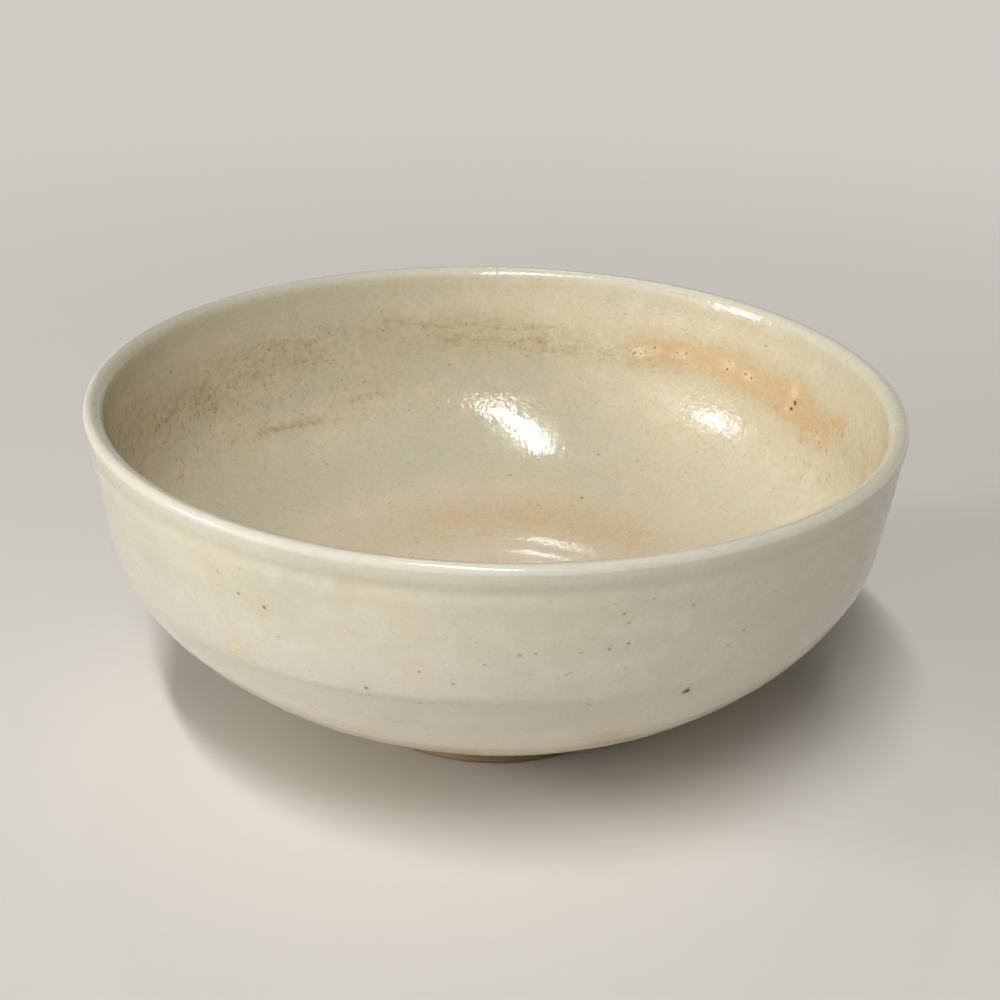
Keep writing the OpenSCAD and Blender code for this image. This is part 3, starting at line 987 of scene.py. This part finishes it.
# Buff stoneware, bare, turned and fired. To the eye it is matt, open and sandy, toasted to a warm brown, with
# tool lines round the foot.
def toastedStoneware(name, look):
    material, tree = newMaterial(name)
    place = add(tree, "ShaderNodeTexCoord").outputs["Object"]
    tooled = stretched(tree, field(tree, "wheel", "Vector"), (6.0, 6.0, 1.3))

    cloud = noise(tree, place, 1 / 0.012, 4.0, 0.55)  # 12 mm clouds of toasting
    sand = noise(tree, place, 1 / 0.0007, 3.0, 0.7)  # 0.7 mm sand
    lines = noise(tree, tooled, 1.0, 4.0, 0.6)  # tool lines 0.8 mm apart
    grit = add(tree, "ShaderNodeTexVoronoi", {"Vector": place, "Scale": 1 / 0.0024}).outputs["Distance"]

    colour = mixColour(tree, reshape(tree, cloud, 0.35, 0.65), linear(look["ground"]), linear(look["toast"]))
    colour = mixColour(tree, reshape(tree, lines, 0.5, 0.7, 0, 0.5), colour, linear(look["pale"]))
    colour = mixColour(tree, reshape(tree, sand, 0.55, 0.75, 0, 0.5), colour, linear(look["dark"]))
    colour = mixColour(tree, reshape(tree, grit, 0.14, 0.07, 0, 0.7), colour, linear(look["grit"]))
    height = combine(tree, "ADD", sand, lines)
    bump = add(tree, "ShaderNodeBump", {"Height": height, "Strength": 0.8, "Distance": 0.12 * mm}).outputs[0]
    surface = {"Base Color": colour, "Roughness": look["rough"], "Normal": bump, "IOR": 1.45}
    shader = add(tree, "ShaderNodeBsdfPrincipled", surface)
    add(tree, "ShaderNodeOutputMaterial", {"Surface": shader.outputs[0]})
    return material


outerGlazeLook = dict(
    ground="#DED5BE",
    thick="#D6CFBA",
    pale="#E4DDCA",
    cool="#C6C1AA",
    # A band is a tone, the distances below the crest between which it comes or goes, and its share before
    # and after
    bands=[
        # Paler lip: partly the glaze running thin over it, partly a painted highlight of the lamps above on
        # its top
        ("#E6E2D6", 1.6, 4.2, 0.35, 0),
        ("#DAD3CA", 14, 22, 0, 0.35),
        # Painted light: the lower belly is painted paler and warmer, standing in for light bounced up from
        # the floor
        ("#F2E8D2", 33, 46, 0, 0.75),
    ],
    blush="#D9C4A0",
    flash="#E0BC92",
    cream="#EBD9B8",
    milk=0.9,
    stain="#C6AF82",
    mottle="#C3B595",
    mottling=0.35,  # share of the plain glaze that is mottled
    grain="#C4BAA0",
    graining=0.3,
    pinhole="#A39473",
    pinholes=0.03,  # share of the cells that have a pinhole in plain glaze
    halo="#BFAA84",
    iron="#473C2E",
    peel=0.06,  # height of the orange peel in mm
    smoother=(30, 40),  # mm below the crest, where the peel comes down to its share
    smooth=0.45,
    rough=0.13,
)
innerGlazeLook = dict(
    outerGlazeLook,
    ground="#D7CBAD",
    thick="#D3CAB0",
    pale="#E0D4BB",
    cool="#CBC6AE",
    # The first band, a paler, greyer lip: partly the glaze's own tone there, partly a painted highlight of
    # the lamps above
    bands=[("#DADACA", 0.5, 5.0, 0.5, 0), ("#E2D0BA", 48, 58, 0, 0.35)],
    milk=0.75,
    blush="#CDB27F",
    flash="#DDB288",
    cream="#EFD9B2",
    stain="#AB9259",
    mottle="#A68F62",
    mottling=0.22,
    grain="#B5A47E",
    graining=0.4,
    pinhole="#7E6844",
    pinholes=0.03,
    peel=0.12,
    smoother=(31, 36),
    smooth=0.35,
    halo="#AF9566",
    iron="#463A2B",
)
bareClayLook = dict(
    ground="#A8916F",
    toast="#9C7A56",
    pale="#B7A283",
    dark="#80684B",
    grit="#57462F",
    rough=0.85,
)

outerCoat = outerGlazeCoat()
innerCoat = innerGlazeCoat()
body = clayBody()
ring = footRing()
print("pieces made")

outerCoat.data.materials.append(milkyGlaze("milkyGlazeOutside", outerGlazeLook))
innerCoat.data.materials.append(milkyGlaze("milkyGlazeInside", innerGlazeLook))
bareClay = toastedStoneware("toastedStoneware", bareClayLook)
body.data.materials.append(bareClay)
ring.data.materials.append(bareClay)
print("materials made")

for piece, node, slotName in (
    (outerCoat, "outer_glaze", "outer_glaze"),
    (innerCoat, "inner_glaze", "inner_glaze"),
    (body, "clay_body", "body_clay"),
    (ring, "foot_ring", "foot_clay"),
):
    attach(piece, "root")
    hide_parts(node)

studio = dict(
    floor="#DBD7D0",
    floorHalf=6.0,  # metres
    lit=(0.16, 0.5),  # metres from the bowl's middle between which the floor turns into the backdrop
    backdrop="#CECBC5",  # what the camera sees beyond the bowl's shadow
    sky=0.012,
    lampDistance=3200,
    # A lamp's azimuth and elevation seen from the bowl, its two sides and how bright it is. A twist turns
    # its long side, and a fill lights the bowl but doesn't show in its gloss.
    lamps=dict(
        overhead=dict(azimuth=-103, elevation=64, size=(1700, 150), twist=127, level=0.54),
        overheadEnd=dict(azimuth=-88, elevation=50, size=(330, 640), level=0.1),
        front=dict(azimuth=-90, elevation=45, size=(3000, 1600), level=0.15, fill=True),
        left=dict(azimuth=-173, elevation=19, size=(560, 600), twist=10, level=0.28),
        leftFront=dict(azimuth=-150, elevation=14, size=(2000, 1200), level=0.25, fill=True),
        window=dict(azimuth=-155, elevation=15, size=(1300, 560), level=0.045),
        behind=dict(azimuth=97, elevation=54, size=(260, 260), level=0.03),
    ),
)


# 1 for the camera, low for what gloss or glass shows, and 0 for the light that falls on the bowl: the
# greatest of camera and (glossy or through) low
def seenPlainly(tree, low=1.0):
    path = add(tree, "ShaderNodeLightPath").outputs
    mirrored = combine(tree, "MAXIMUM", path["Is Glossy Ray"], path["Is Transmission Ray"])
    return combine(tree, "MAXIMUM", path["Is Camera Ray"], combine(tree, "MULTIPLY", mirrored, low))


# Floor: lit near the bowl, so that it takes the shadow, and of one pale tone further out
def makeFloor():
    mesh = bpy.data.meshes.new("floor")
    half = studio["floorHalf"]
    corners = [(-half, -half, 0), (half, -half, 0), (half, half, 0), (-half, half, 0)]
    mesh.from_pydata(corners, [], [(0, 1, 2, 3)])
    floor = bpy.data.objects.new("floor", mesh)
    bpy.context.scene.collection.objects.link(floor)
    material, tree = newMaterial("paleFloor")
    place = add(tree, "ShaderNodeTexCoord").outputs["Object"]
    reach = add(tree, "ShaderNodeVectorMath", {0: place}, operation="LENGTH").outputs["Value"]
    far = combine(tree, "MULTIPLY", reshape(tree, reach, *studio["lit"]), seenPlainly(tree))
    lit = add(tree, "ShaderNodeBsdfDiffuse", {"Color": linear(studio["floor"])}).outputs[0]
    even = add(tree, "ShaderNodeEmission", {"Color": linear(studio["backdrop"]), "Strength": 1.0}).outputs[0]
    surface = add(tree, "ShaderNodeMixShader", {0: far, 1: lit, 2: even}).outputs[0]
    add(tree, "ShaderNodeOutputMaterial", {"Surface": surface})
    mesh.materials.append(material)


# A flat oval lamp that faces the bowl. Its power is level pi^2 distance^2.
def makeLamp(name, lamp):
    a, e = radians(lamp["azimuth"]), radians(lamp["elevation"])
    aim = Vector((0, 0, bowlHeight / 2)) * mm
    way = Vector((cos(a) * cos(e), sin(a) * cos(e), sin(e)))
    distance = studio["lampDistance"] * mm
    light = bpy.data.lights.new(name, "AREA")
    light.shape = "ELLIPSE"
    light.size, light.size_y = (side * mm for side in lamp["size"])
    light.energy = lamp["level"] * pi**2 * distance**2
    aimed = (-way).to_track_quat("-Z", "Y").to_matrix().to_4x4()
    turn = aimed @ Matrix.Rotation(radians(lamp.get("twist", 0)), 4, "Z")
    piece = bpy.data.objects.new(name, light)
    piece.matrix_world = Matrix.Translation(aim + way * distance) @ turn
    piece.visible_glossy = not lamp.get("fill", False)
    bpy.context.scene.collection.objects.link(piece)


# The room: a dim sky for light. The camera sees the backdrop's tone, and gloss shows it too where it looks
# level or down.
def makeWorld():
    world = bpy.data.worlds.new("paleRoom")
    world.use_nodes = True
    tree = world.node_tree
    tree.nodes.clear()
    way = add(tree, "ShaderNodeTexCoord").outputs["Generated"]
    up = add(tree, "ShaderNodeSeparateXYZ", {0: way}).outputs[2]
    seen = seenPlainly(tree, reshape(tree, up, 0.25, 0.05))
    colour = mixColour(tree, seen, [studio["sky"]] * 3 + [1], linear(studio["backdrop"]))
    background = add(tree, "ShaderNodeBackground", {"Color": colour, "Strength": 1.0})
    add(tree, "ShaderNodeOutputWorld", {"Surface": background.outputs[0]})
    bpy.context.scene.world = world


view = dict(place=(-2.0, -310.0, 183.2), pitch=24.68, yaw=0.54, roll=1.0, lens=64.8)


# A camera at its place, turned by yaw, then down by pitch, then about its own line of sight by roll
def makeCamera():
    data = bpy.data.cameras.new("camera")
    data.sensor_width = 36
    data.lens = view["lens"]
    data.clip_start = 0.01
    camera = bpy.data.objects.new("camera", data)
    turn = Matrix.Rotation(-radians(view["yaw"]), 4, "Z")
    turn = turn @ Matrix.Rotation(radians(90 - view["pitch"]), 4, "X")
    turn = turn @ Matrix.Rotation(radians(view["roll"]), 4, "Z")
    camera.matrix_world = Matrix.Translation(Vector(view["place"]) * mm) @ turn
    bpy.context.scene.collection.objects.link(camera)
    bpy.context.scene.camera = camera


makeFloor()
for name, lamp in studio["lamps"].items():
    makeLamp(name + "Lamp", lamp)
makeWorld()
makeCamera()
bpy.context.scene.view_settings.view_transform = "Standard"
print("floor, lamps and camera made")
